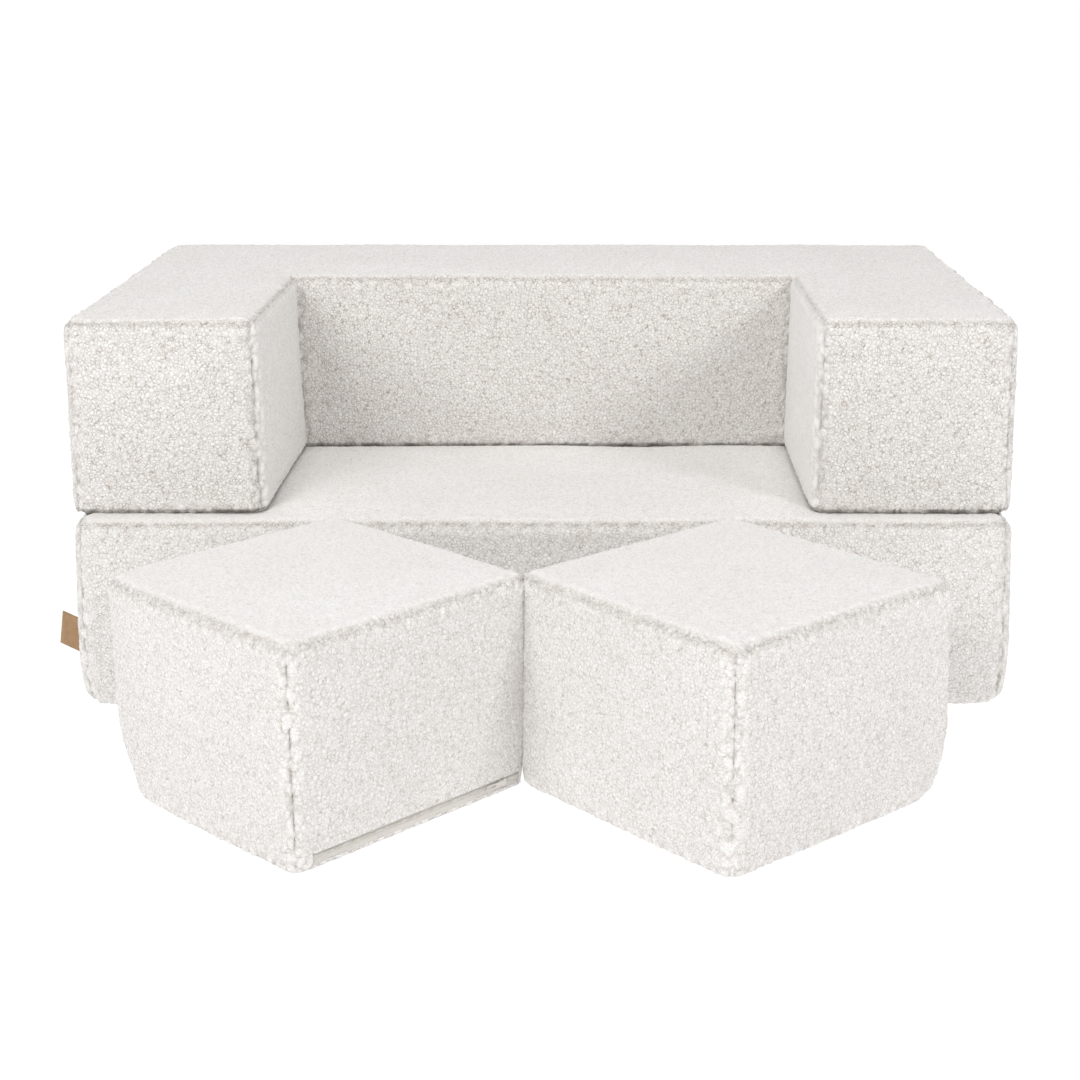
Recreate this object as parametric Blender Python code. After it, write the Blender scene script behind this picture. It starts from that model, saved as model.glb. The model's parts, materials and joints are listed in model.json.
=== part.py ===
"""Modular foam play sofa: a base block, a U-shaped back-and-arms block on it, and two loose poufs in front.

Each block is a foam core in a sewn cover of boucle panels that closes with a zip. Lengths are in metres, +Z is up
and the sofa faces -Y. The origin is on the floor, under the middle of the base.
"""

import math
from dataclasses import dataclass

import bmesh
import bpy
from mathutils import Matrix, Vector
from mathutils.geometry import intersect_point_line

# Base block
BASE_WIDTH = 0.994
BASE_DEPTH = 0.620
BASE_HEIGHT = 0.205
BASE_BOTTOM_RADIUS = 0.020

# U-shaped block: the back and both arms in one piece
BACKREST_EXTRA_WIDTH = 0.014
BACKREST_WIDTH = BASE_WIDTH + BACKREST_EXTRA_WIDTH
BACKREST_DEPTH = 0.572
BACKREST_HEIGHT = 0.206
LEFT_ARM_WIDTH = 0.202
RIGHT_ARM_WIDTH = 0.208
BACK_THICKNESS = 0.270
BACKREST_BOTTOM_RADIUS = 0.010
BACKREST_SIDE_SHIFT = -0.002
STACKING_GAP = 0.0003

# Poufs: each stands with a corner to the front
POUF_SIDE = 0.294
POUF_HEIGHT = 0.214
POUF_BOTTOM_RADIUS = 0.006
POUF_SPACING = 0.006
POUF_PAIR_SHIFT = -0.014
LEFT_POUF_STANDOFF = 0.013
RIGHT_POUF_STANDOFF = 0.018
LEFT_POUF_TURN = math.radians(45.95)
RIGHT_POUF_TURN = math.radians(221.55)

# Cover: boucle sheet, its rounded edges, the swell of its faces and the draw of its seams
COVER_THICKNESS = 0.003
SEAM_GAP = 0.0003
UPRIGHT_RADIUS = 0.026
TOP_RADIUS = 0.020
ROUNDING_STEPS = 4
BOTTOM_ROUNDING_STEPS = 2
CROWN = 0.003
CROWN_REACH = 0.090
SEAM_DRAW = 0.004
BOTTOM_SEAM_DRAW = 0.001
CUT_TOLERANCE = 1e-5
HALF_RIGHT_ANGLE_COSINE = math.sqrt(0.5) - 1e-3

# Zip: two tapes and a closed chain in a slot of one wall, with a slider and its pull
ZIP_SLOT_HEIGHT = 0.010
ZIP_SLOT_RISE = 0.0015
ZIP_END_MARGIN = 0.034
ZIP_TAPE_THICKNESS = 0.0012
ZIP_TAPE_SETBACK = 0.0004
ZIP_CHAIN_HEIGHT = 0.004
ZIP_CHAIN_THICKNESS = 0.0024
ZIP_CHAIN_PROUD = 0.0008
ZIP_CHAIN_BEVEL = 0.0006
ZIP_CLEARANCE = 0.0003
SLIDER_LENGTH = 0.010
SLIDER_WIDTH = 0.0068
SLIDER_PLATE = 0.0012
SLIDER_RAIL = 0.0008
SLIDER_RAIL_RISE = 0.0022
SLIDER_END_STOP = 0.004
PULL_LENGTH = 0.022
PULL_THICKNESS = 0.0008
PULL_BARREL_RADIUS = 0.0008
PULL_BARREL_STEPS = 8

# Leather label in the base's left front seam
LABEL_LENGTH = 0.054
LABEL_HEIGHT = 0.037
LABEL_THICKNESS = 0.0015
LABEL_CENTRE_HEIGHT = 0.079
LABEL_STEPS = 8
LABEL_START_HEADING = math.radians(225)
LABEL_END_HEADING = math.radians(92)

BOX_WALLS = ("front_panel", "right_panel", "back_panel", "left_panel")
BACKREST_WALLS = (
    "left_arm_front_panel",
    "left_arm_inner_panel",
    "front_panel",
    "right_arm_inner_panel",
    "right_arm_front_panel",
    "right_panel",
    "rear_panel",
    "left_panel",
)


@dataclass(frozen=True)
class Block:
    """One module. Its outline runs anticlockwise in plan, with one named wall for each edge.

    Each swell is a plan rectangle (left, front, right, back) in which the top is crowned.
    """

    name: str
    outline: tuple
    walls: tuple
    height: float
    bottom_radius: float
    swells: tuple
    x_cuts: tuple
    y_cuts: tuple
    zip_wall: int


def clear_scene():
    for item in list(bpy.data.objects):
        bpy.data.objects.remove(item, do_unlink=True)


def make_material(name, colour, roughness, metallic=0.0):
    material = bpy.data.materials.new(name)
    material.use_nodes = True
    shader = material.node_tree.nodes["Principled BSDF"]
    shader.inputs["Base Color"].default_value = (*colour, 1.0)
    shader.inputs["Roughness"].default_value = roughness
    shader.inputs["Metallic"].default_value = metallic
    return material


def add_frame(name, location, turn=0.0, parent=None):
    frame = bpy.data.objects.new(name, None)
    frame.location = location
    frame.rotation_euler = (0.0, 0.0, turn)
    frame.parent = parent
    bpy.context.collection.objects.link(frame)
    return frame


def add_piece(name, shape, material, parent, location=(0.0, 0.0, 0.0)):
    """Turns a bmesh into a named object under its parent frame."""
    bmesh.ops.recalc_face_normals(shape, faces=shape.faces[:])
    mesh = bpy.data.meshes.new(name)
    shape.to_mesh(mesh)
    shape.free()
    mesh.materials.append(material)
    piece = bpy.data.objects.new(name, mesh)
    piece.location = location
    piece.parent = parent
    bpy.context.collection.objects.link(piece)
    return piece


def rectangle(width, depth):
    return (
        (-width / 2, -depth / 2),
        (width / 2, -depth / 2),
        (width / 2, depth / 2),
        (-width / 2, depth / 2),
    )


def edges_of(outline):
    """The outline's edges as (start, end) pairs."""
    corners = [Vector(corner) for corner in outline]
    return list(zip(corners, corners[1:] + corners[:1]))


def outward(edge):
    """Outward normal of an edge of an anticlockwise outline."""
    along = (edge[1] - edge[0]).normalized()
    return Vector((along.y, -along.x))


def inset_outline(outline, inset):
    """The square-cornered outline with each edge moved inwards."""
    edges = edges_of(outline)
    return tuple(
        tuple(edge[0] - inset * (outward(edge) + outward(before)))
        for before, edge in zip(edges[-1:] + edges[:-1], edges)
    )


def inner_corners(outline):
    """The outline's corners that turn into the block."""
    edges = edges_of(outline)
    return [
        edge[0]
        for before, edge in zip(edges[-1:] + edges[:-1], edges)
        if outward(before).dot(edge[1] - edge[0]) > 0
    ]


def distance_to_edge(point, edge):
    nearest, share = intersect_point_line(point, *edge)
    nearest = edge[0].lerp(edge[1], min(max(share, 0.0), 1.0))
    return (nearest - point).length


def extruded(outline, height):
    """A closed straight-sided block over a plan outline, standing on z = 0."""
    shape = bmesh.new()
    shape.faces.new([shape.verts.new((x, y, 0.0)) for x, y in outline])
    raised = bmesh.ops.extrude_face_region(shape, geom=shape.faces[:])["geom"]
    top = [item for item in raised if isinstance(item, bmesh.types.BMVert)]
    bmesh.ops.translate(shape, verts=top, vec=(0.0, 0.0, height))
    bmesh.ops.recalc_face_normals(shape, faces=shape.faces[:])
    return shape


def bevel_edges(shape, edges, radius, steps):
    bmesh.ops.bevel(
        shape,
        geom=edges,
        offset=radius,
        offset_type="OFFSET",
        segments=steps,
        profile=0.5,
        affect="EDGES",
        clamp_overlap=True,
        material=-1,
    )
    shape.normal_update()


def rounded_block(outline, height, bottom_radius, steps, bottom_steps):
    """A block with its outer upright edges rounded first, then its top and bottom rims."""
    shape = extruded(outline, height)
    uprights = [
        edge
        for edge in shape.edges
        if abs(edge.verts[0].co.z - edge.verts[1].co.z) > height / 2 and edge.is_convex
    ]
    bevel_edges(shape, uprights, UPRIGHT_RADIUS, steps)
    top = max(shape.faces, key=lambda face: face.calc_center_median().z)
    bevel_edges(shape, top.edges[:], TOP_RADIUS, steps)
    bottom = min(shape.faces, key=lambda face: face.calc_center_median().z)
    bevel_edges(shape, bottom.edges[:], bottom_radius, bottom_steps)
    return shape


def cut_across(shape, faces, axis, place):
    """Adds an edge line over the faces, where the plane at this place on the axis crosses them."""
    normal = Vector((axis == 0, axis == 1, axis == 2))
    edges = dict.fromkeys(edge for face in faces for edge in face.edges)
    corners = dict.fromkeys(corner for face in faces for corner in face.verts)
    bmesh.ops.bisect_plane(
        shape,
        geom=[*faces, *edges, *corners],
        dist=CUT_TOLERANCE,
        plane_co=place * normal,
        plane_no=normal,
    )


def panel_of(face, block):
    """Index of the face's panel: the walls in outline order, then the top and the bottom."""
    across = face.normal.to_2d()
    if abs(face.normal.z) > across.length:
        return len(block.walls) + (face.normal.z < 0)
    centre = face.calc_center_median().to_2d()
    facing = [
        (distance_to_edge(centre, edge), index)
        for index, edge in enumerate(edges_of(block.outline))
        if across.normalized().dot(outward(edge)) > HALF_RIGHT_ANGLE_COSINE
    ]
    return min(facing)[1]


def swell(depth):
    """How far a face stands out at this distance inside its seams."""
    share = min(max(depth / CROWN_REACH, 0.0), 1.0)
    return CROWN * (1 - (1 - share) ** 2)


def crown_offset(point, panel, block):
    """Displacement of a point on a panel that gives the panel its crown."""
    depth = 0.0
    if panel == len(block.walls):
        depth = max(
            min(point.x - left, right - point.x, point.y - front, back - point.y)
            for left, front, right, back in block.swells
        )
    elif panel < len(block.walls):
        edge = edges_of(block.outline)[panel]
        run = (edge[1] - edge[0]).length
        share = intersect_point_line(point.to_2d(), *edge)[1]
        depth = min(share * run, (1 - share) * run, point.z, block.height - point.z)
    return swell(depth) * panel_facing(panel, block)


def panel_facing(panel, block):
    """The way that a panel's plane faces."""
    if panel < len(block.walls):
        return outward(edges_of(block.outline)[panel]).to_3d()
    return Vector((0.0, 0.0, 1.0 if panel == len(block.walls) else -1.0))


def in_inner_corner(vertex, block):
    place = vertex.co.to_2d()
    return any((place - corner).length < UPRIGHT_RADIUS for corner in inner_corners(block.outline))


def seam_move(vertex, panels, block):
    """How a seam is drawn in: not at all in the block's inner corners, and less along the bottom."""
    if in_inner_corner(vertex, block):
        return Vector((0.0, 0.0, 0.0))
    draw = BOTTOM_SEAM_DRAW if len(block.walls) + 1 in panels else SEAM_DRAW
    return -draw * vertex.normal


def way_inwards(vertex, panels, block):
    """From a point on the cover's outer side to its inner side, square to the sheet and along each mitre."""
    if len(panels) > 1 and in_inner_corner(vertex, block):
        mitre = sum((panel_facing(panel, block) for panel in panels), Vector((0.0, 0.0, 0.0)))
        return -COVER_THICKNESS * math.sqrt(0.5) * mitre
    return -COVER_THICKNESS * vertex.calc_shell_factor() * vertex.normal


def zip_centre_height(block):
    return block.bottom_radius + ZIP_SLOT_RISE + ZIP_SLOT_HEIGHT / 2


def zip_half_length(block):
    edge = edges_of(block.outline)[block.zip_wall]
    return (edge[1] - edge[0]).length / 2 - ZIP_END_MARGIN


def in_zip_slot(face, block):
    centre = face.calc_center_median()
    return (
        abs(centre.x) < zip_half_length(block)
        and abs(centre.z - zip_centre_height(block)) < ZIP_SLOT_HEIGHT / 2
    )


def cover_surface(block):
    """The cover's outer surface, closed, with each face's panel and each point's way inwards stored on it."""
    shape = rounded_block(
        block.outline, block.height, block.bottom_radius, ROUNDING_STEPS, BOTTOM_ROUNDING_STEPS
    )
    for place in block.x_cuts:
        cut_across(shape, shape.faces[:], 0, place)
    for place in block.y_cuts:
        cut_across(shape, shape.faces[:], 1, place)
    cut_across(shape, shape.faces[:], 2, block.height / 2)
    slot_cuts = [(0, side * zip_half_length(block)) for side in (-1, 1)]
    slot_cuts += [(2, zip_centre_height(block) + side * ZIP_SLOT_HEIGHT / 2) for side in (-1, 1)]
    for axis, place in slot_cuts:
        zipped = [face for face in shape.faces if panel_of(face, block) == block.zip_wall]
        cut_across(shape, zipped, axis, place)
    shape.normal_update()

    panel = shape.faces.layers.int.new("panel")
    slot = shape.faces.layers.int.new("slot")
    inwards = shape.verts.layers.float_vector.new("inwards")
    for face in shape.faces:
        face[panel] = panel_of(face, block)
        face[slot] = face[panel] == block.zip_wall and in_zip_slot(face, block)

    panels_at = {vertex: {face[panel] for face in vertex.link_faces} for vertex in shape.verts}
    moves = {
        vertex: crown_offset(vertex.co, min(panels), block)
        if len(panels) == 1
        else seam_move(vertex, panels, block)
        for vertex, panels in panels_at.items()
    }
    for vertex, move in moves.items():
        vertex.co += move
    shape.normal_update()
    for vertex, panels in panels_at.items():
        vertex[inwards] = way_inwards(vertex, panels, block)
    return shape


def seam_trim(vertex):
    """How far a point on a sheet's rim draws back to leave half of the seam's gap."""
    ways = []
    for edge in vertex.link_edges:
        if not edge.is_boundary:
            continue
        face = edge.link_faces[0]
        way = face.normal.cross(edge.other_vert(vertex).co - vertex.co).normalized()
        middle = (edge.verts[0].co + edge.verts[1].co) / 2
        ways.append(way if way.dot(face.calc_center_median() - middle) > 0 else -way)
    if len(ways) != 2:
        return Vector((0.0, 0.0, 0.0))
    return SEAM_GAP / 2 * (ways[0] + ways[1]) / (1 + ways[0].dot(ways[1]))


def sewn_panel(surface, index):
    """One panel of the cover as a closed sheet, trimmed to its seams."""
    sheet = surface.copy()
    panel = sheet.faces.layers.int["panel"]
    slot = sheet.faces.layers.int["slot"]
    inwards = sheet.verts.layers.float_vector["inwards"]
    others = [face for face in sheet.faces if face[panel] != index or face[slot]]
    bmesh.ops.delete(sheet, geom=others, context="FACES")
    sheet.normal_update()
    trims = {vertex: seam_trim(vertex) for vertex in sheet.verts}
    for vertex, trim in trims.items():
        vertex.co += trim
    inner = bmesh.ops.extrude_face_region(sheet, geom=sheet.faces[:])["geom"]
    for item in inner:
        if isinstance(item, bmesh.types.BMVert):
            item.co += item[inwards]
    return sheet


def foam_core(block):
    """The cut foam, its edges chamfered under the cover's round ones."""
    inset = COVER_THICKNESS + SEAM_GAP
    core = rounded_block(
        inset_outline(block.outline, inset), block.height - 2 * inset, block.bottom_radius, 1, 1
    )
    bmesh.ops.translate(core, verts=core.verts[:], vec=(0.0, 0.0, inset))
    return core


def add_cover_and_core(block, frame, materials):
    surface = cover_surface(block)
    names = [*block.walls, "top_panel", "bottom_panel"]
    for index, name in enumerate(names):
        add_piece(f"{block.name}_{name}", sewn_panel(surface, index), materials["boucle"], frame)
    surface.free()
    add_piece(f"{block.name}_foam_core", foam_core(block), materials["foam"], frame)


def box(size, centre):
    shape = bmesh.new()
    bmesh.ops.create_cube(shape, size=1.0)
    bmesh.ops.scale(shape, verts=shape.verts[:], vec=size)
    bmesh.ops.translate(shape, verts=shape.verts[:], vec=centre)
    return shape


def zip_tape(half_length, side):
    """One tape: it fills its side of the slot between the cover and the chain."""
    low = ZIP_CHAIN_HEIGHT / 2 + ZIP_CLEARANCE
    high = ZIP_SLOT_HEIGHT / 2 - SEAM_GAP
    size = (2 * (half_length - SEAM_GAP), ZIP_TAPE_THICKNESS, high - low)
    depth = ZIP_TAPE_SETBACK + ZIP_TAPE_THICKNESS / 2
    return box(size, (0.0, depth, side * (low + high) / 2))


def zip_chain(half_length):
    """The closed chain, softened along its four long edges."""
    size = (2 * (half_length - SEAM_GAP), ZIP_CHAIN_THICKNESS, ZIP_CHAIN_HEIGHT)
    chain = box(size, (0.0, ZIP_CHAIN_THICKNESS / 2 - ZIP_CHAIN_PROUD, 0.0))
    long_edges = [edge for edge in chain.edges if edge.calc_length() > size[0] / 2]
    bevel_edges(chain, long_edges, ZIP_CHAIN_BEVEL, 1)
    return chain


def zip_slider():
    """A channel whose plate rides over the chain and whose rails carry the pull."""
    half = SLIDER_WIDTH / 2
    inner = half - SLIDER_RAIL
    rise = SLIDER_PLATE + SLIDER_RAIL_RISE
    profile = (
        (-half, 0.0),
        (half, 0.0),
        (half, rise),
        (inner, rise),
        (inner, SLIDER_PLATE),
        (-inner, SLIDER_PLATE),
        (-inner, rise),
        (-half, rise),
    )
    slider = extruded(profile, SLIDER_LENGTH)
    bmesh.ops.translate(slider, verts=slider.verts[:], vec=(0.0, 0.0, -SLIDER_LENGTH / 2))
    to_zip_axes = Matrix(((0.0, 0.0, 1.0), (0.0, -1.0, 0.0), (1.0, 0.0, 0.0)))
    bmesh.ops.transform(slider, matrix=to_zip_axes.to_4x4(), verts=slider.verts[:])
    return slider


def zip_pull():
    """A flat tab on a barrel that turns about Z at the origin, lying along -X."""
    root = math.asin(PULL_THICKNESS / 2 / PULL_BARREL_RADIUS)
    turn = 2 * (math.pi - root)
    profile = [(-PULL_LENGTH, -PULL_THICKNESS / 2)]
    for step in range(PULL_BARREL_STEPS + 1):
        angle = root - math.pi + turn * step / PULL_BARREL_STEPS
        profile.append((PULL_BARREL_RADIUS * math.cos(angle), PULL_BARREL_RADIUS * math.sin(angle)))
    profile.append((-PULL_LENGTH, PULL_THICKNESS / 2))
    width = SLIDER_WIDTH - 2 * (SLIDER_RAIL + ZIP_CLEARANCE)
    pull = extruded(profile, width)
    bmesh.ops.translate(pull, verts=pull.verts[:], vec=(0.0, 0.0, -width / 2))
    return pull


def add_zip(block, frame, materials):
    """The zip in its wall's slot. In its own frame it runs along X and faces -Y, with y = 0 in the wall's plane."""
    edge = edges_of(block.outline)[block.zip_wall]
    facing = outward(edge)
    middle = (edge[0] + edge[1]) / 2
    turn = math.atan2(facing.x, -facing.y)
    place = (middle.x, middle.y, zip_centre_height(block))
    zip_frame = add_frame(f"{block.name}_zip_frame", place, turn, frame)
    half_length = zip_half_length(block)
    for name, side in (("upper", 1), ("lower", -1)):
        tape = zip_tape(half_length, side)
        add_piece(f"{block.name}_zip_{name}_tape", tape, materials["tape"], zip_frame)
    add_piece(f"{block.name}_zip_chain", zip_chain(half_length), materials["chain"], zip_frame)

    reach = half_length - SLIDER_END_STOP - SLIDER_LENGTH / 2
    plate_back = -ZIP_CHAIN_PROUD - ZIP_CLEARANCE
    slider_place = (reach, plate_back, 0.0)
    slider = add_piece(
        f"{block.name}_zip_slider", zip_slider(), materials["metal"], zip_frame, slider_place
    )
    axis_height = SLIDER_PLATE + ZIP_CLEARANCE + PULL_BARREL_RADIUS
    pull_place = (0.0, -axis_height, 0.0)
    add_piece(f"{block.name}_zip_pull", zip_pull(), materials["metal"], slider, pull_place)


def leather_label():
    """A strip that leaves the seam squarely and curls back beside the base."""
    half_thickness = LABEL_THICKNESS / 2
    headings = [
        LABEL_START_HEADING
        + (LABEL_END_HEADING - LABEL_START_HEADING) * (step + 0.5) / LABEL_STEPS
        for step in range(LABEL_STEPS)
    ]
    line = [Vector((0.0, 0.0))]
    for heading in headings:
        stride = Vector((math.cos(heading), math.sin(heading))) * LABEL_LENGTH / LABEL_STEPS
        line.append(line[-1] + stride)
    turns = [LABEL_START_HEADING, *headings[1:], LABEL_END_HEADING]
    sides = [Vector((-math.sin(turn), math.cos(turn))) * half_thickness for turn in turns]
    left = [tuple(point + side) for point, side in zip(line, sides)]
    right = [tuple(point - side) for point, side in zip(line, sides)]
    label = extruded(right + left[::-1], LABEL_HEIGHT)
    bmesh.ops.translate(label, verts=label.verts[:], vec=(0.0, 0.0, -LABEL_HEIGHT / 2))
    return label


def add_label(frame, materials):
    """Seats the label on the base's left front upright seam."""
    seam_depth = UPRIGHT_RADIUS * (1 - math.sqrt(0.5)) + SEAM_DRAW * math.sqrt(0.5)
    inward = seam_depth - SEAM_GAP
    place = (inward - BASE_WIDTH / 2, inward - BASE_DEPTH / 2, LABEL_CENTRE_HEIGHT)
    add_piece("leather_label", leather_label(), materials["leather"], frame, place)


def base_block(seat_left, seat_right, seat_back):
    """The base: only the seat between the arms swells, and the rest is pressed flat by the block on it."""
    seat = (seat_left, -BASE_DEPTH / 2, seat_right, seat_back)
    middle = (seat_left + seat_right) / 2
    return Block(
        name="base",
        outline=rectangle(BASE_WIDTH, BASE_DEPTH),
        walls=BOX_WALLS,
        height=BASE_HEIGHT,
        bottom_radius=BASE_BOTTOM_RADIUS,
        swells=(seat,),
        x_cuts=(seat_left, seat_left + CROWN_REACH, middle, seat_right - CROWN_REACH, seat_right),
        y_cuts=(CROWN_REACH - BASE_DEPTH / 2, seat_back - CROWN_REACH, seat_back),
        zip_wall=2,
    )


def backrest_block():
    half_width = BACKREST_WIDTH / 2
    half_depth = BACKREST_DEPTH / 2
    left = LEFT_ARM_WIDTH - half_width
    right = half_width - RIGHT_ARM_WIDTH
    back = half_depth - BACK_THICKNESS
    outline = (
        (-half_width, -half_depth),
        (left, -half_depth),
        (left, back),
        (right, back),
        (right, -half_depth),
        (half_width, -half_depth),
        (half_width, half_depth),
        (-half_width, half_depth),
    )
    swells = (
        (-half_width, -half_depth, left, half_depth),
        (right, -half_depth, half_width, half_depth),
        (-half_width, back, half_width, half_depth),
    )
    return Block(
        name="backrest",
        outline=outline,
        walls=BACKREST_WALLS,
        height=BACKREST_HEIGHT,
        bottom_radius=BACKREST_BOTTOM_RADIUS,
        swells=swells,
        x_cuts=((left - half_width) / 2, left + CROWN_REACH, right - CROWN_REACH, (right + half_width) / 2),
        y_cuts=(CROWN_REACH - half_depth, back - CROWN_REACH, half_depth - BACK_THICKNESS / 2),
        zip_wall=6,
    )


def pouf_block(name):
    half = POUF_SIDE / 2
    cuts = (CROWN_REACH - half, half - CROWN_REACH)
    return Block(
        name=name,
        outline=rectangle(POUF_SIDE, POUF_SIDE),
        walls=BOX_WALLS,
        height=POUF_HEIGHT,
        bottom_radius=POUF_BOTTOM_RADIUS,
        swells=((-half, -half, half, half),),
        x_cuts=cuts,
        y_cuts=cuts,
        zip_wall=0,
    )


def main():
    clear_scene()
    materials = {
        "boucle": make_material("boucle", (0.80, 0.78, 0.74), 0.95),
        "foam": make_material("foam", (0.85, 0.80, 0.62), 0.9),
        "tape": make_material("zip_tape", (0.70, 0.68, 0.64), 0.8),
        "chain": make_material("zip_chain", (0.72, 0.70, 0.66), 0.5),
        "metal": make_material("zip_metal", (0.60, 0.60, 0.60), 0.35, 1.0),
        "leather": make_material("leather", (0.40, 0.24, 0.12), 0.6),
    }

    backrest = backrest_block()
    backrest_place = Vector(
        (BACKREST_SIDE_SHIFT, (BASE_DEPTH - BACKREST_DEPTH) / 2, BASE_HEIGHT + STACKING_GAP)
    )
    inner_left = backrest.outline[1][0] + backrest_place.x
    inner_right = backrest.outline[4][0] + backrest_place.x
    inner_back = backrest.outline[2][1] + backrest_place.y
    base = base_block(inner_left, inner_right, inner_back)

    reach = POUF_SIDE * math.sqrt(0.5) - UPRIGHT_RADIUS * (math.sqrt(2) - 1)
    pouf_offset = reach + POUF_SPACING / 2
    base_front = -BASE_DEPTH / 2
    left_pouf_place = (POUF_PAIR_SHIFT - pouf_offset, base_front - LEFT_POUF_STANDOFF - reach, 0.0)
    right_pouf_place = (POUF_PAIR_SHIFT + pouf_offset, base_front - RIGHT_POUF_STANDOFF - reach, 0.0)

    placed_blocks = (
        (base, (0.0, 0.0, 0.0), 0.0),
        (backrest, backrest_place, 0.0),
        (pouf_block("left_pouf"), left_pouf_place, LEFT_POUF_TURN),
        (pouf_block("right_pouf"), right_pouf_place, RIGHT_POUF_TURN),
    )
    for block, place, turn in placed_blocks:
        frame = add_frame(f"{block.name}_frame", place, turn)
        add_cover_and_core(block, frame, materials)
        add_zip(block, frame, materials)
        if block is base:
            add_label(frame, materials)


main()
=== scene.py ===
"""Looks of the foam play sofa: boucle covers, foam, zips, label, floor, light and camera."""

import json
import math
from dataclasses import dataclass

import bmesh
import bpy
import numpy as np
from mathutils import Matrix, Vector

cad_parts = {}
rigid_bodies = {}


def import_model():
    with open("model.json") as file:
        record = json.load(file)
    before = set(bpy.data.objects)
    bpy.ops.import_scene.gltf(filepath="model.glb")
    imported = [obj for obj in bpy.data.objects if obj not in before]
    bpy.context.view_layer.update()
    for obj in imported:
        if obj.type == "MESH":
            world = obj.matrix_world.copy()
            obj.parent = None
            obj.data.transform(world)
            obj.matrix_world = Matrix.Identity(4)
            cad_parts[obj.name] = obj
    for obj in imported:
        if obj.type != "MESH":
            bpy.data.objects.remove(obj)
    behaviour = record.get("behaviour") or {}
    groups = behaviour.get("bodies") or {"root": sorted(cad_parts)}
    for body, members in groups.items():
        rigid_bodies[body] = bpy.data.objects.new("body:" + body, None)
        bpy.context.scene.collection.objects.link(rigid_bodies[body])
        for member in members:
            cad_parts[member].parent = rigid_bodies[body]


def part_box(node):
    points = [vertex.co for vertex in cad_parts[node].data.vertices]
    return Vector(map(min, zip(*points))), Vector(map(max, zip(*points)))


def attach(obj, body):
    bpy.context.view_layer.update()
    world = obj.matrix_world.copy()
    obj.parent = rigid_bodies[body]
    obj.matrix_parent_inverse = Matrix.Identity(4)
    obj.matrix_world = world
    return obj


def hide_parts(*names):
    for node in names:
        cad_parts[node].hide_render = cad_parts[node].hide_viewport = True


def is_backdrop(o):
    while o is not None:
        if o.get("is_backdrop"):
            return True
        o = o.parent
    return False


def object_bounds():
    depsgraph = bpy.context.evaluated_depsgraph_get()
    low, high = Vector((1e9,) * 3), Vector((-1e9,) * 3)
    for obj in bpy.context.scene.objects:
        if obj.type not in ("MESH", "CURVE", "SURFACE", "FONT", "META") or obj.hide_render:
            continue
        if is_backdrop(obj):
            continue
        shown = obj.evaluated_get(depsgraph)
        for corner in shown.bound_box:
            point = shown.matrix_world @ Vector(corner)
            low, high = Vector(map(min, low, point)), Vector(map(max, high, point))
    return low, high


for item in list(bpy.data.objects):
    bpy.data.objects.remove(item, do_unlink=True)
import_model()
cad_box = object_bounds()


def by_block(base, backrest, left_pouf, right_pouf):
    return {"base": base, "backrest": backrest, "left_pouf": left_pouf, "right_pouf": right_pouf}


# Sizes of the blocks, as the solids have them
COVER_THICKNESS = 0.003
SEAM_GAP = 0.0003
CORE_INSET = COVER_THICKNESS + SEAM_GAP
UPRIGHT_RADII = by_block(0.016, 0.016, 0.013, 0.013)
TOP_RADII = by_block(0.011, 0.009, 0.012, 0.012)
BOTTOM_RADII = by_block(0.007, 0.005, 0.005, 0.005)
LEFT_ARM_WIDTH = 0.202
RIGHT_ARM_WIDTH = 0.208
BACK_THICKNESS = 0.270
POUF_SIDE = 0.294
POUF_TURNS = {"left_pouf": math.radians(45.95), "right_pouf": math.radians(221.55)}
ZIP_SLOT_HEIGHTS = (-0.0072, 0.0040)
ZIP_END_MARGIN = 0.034
TAPE_END_MARGIN = 0.020
ZIP_SLIDER_MARGIN = 0.009
ZIP_SLIDER_BACK = 0.0011
ZIP_PULL_AXIS = 0.0023

# Forms of the covers
ROUNDING_STEPS = 8
FAR_AWAY = 9.0
GRAINS = by_block(0.0026, 0.0021, 0.0019, 0.0019)
CROWN = 0.0046
CROWN_REACH = 0.090
LEANS = by_block(0.008, 0.003, -0.0015, 0.005)
CORNER_DRAWS = by_block(0.0, 0.0, 0.003, 0.003)
CORNER_REACH = 0.012
WAVE_HEIGHT = 0.0012
WAVE_LENGTH = 0.110

# Soft upright corners: number in the outline, draw to the middle, more at the foot, reach
SOFT_CORNERS = {
    "base": ((0, 0.0, 0.011, 0.024), (1, 0.0, 0.011, 0.024)),
    "left_pouf": ((3, 0.008, 0.020, 0.036), (1, 0.0, 0.010, 0.012)),
    "right_pouf": ((3, -0.004, 0.018, 0.030), (1, 0.0, 0.010, 0.012)),
}
SOFT_FOOT_HEIGHT = 0.080

# Seams: a drawn-in groove with a roll of cloth on each side, weaker at the top rims
SEAM_REACH = 0.013
SEAM_DRAW = 0.0022
SEAM_HALF_WIDTH = 0.0030
SEAM_BREAK_SIZE = 0.009
SEAM_BREAKS = (0.7, 0.6)
LOWER_SEAM_HEIGHT = 0.03
LOWER_SEAM_EASE = 1.3
TOP_SEAM_SHARES = by_block(0.7, 0.2, 0.25, 0.25)
TOP_RIM_REACH = 0.012
SEAM_ROLL = 0.0010
SEAM_ROLL_PLACE = 0.012
SEAM_ROLL_HALF_WIDTH = 0.007

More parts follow.
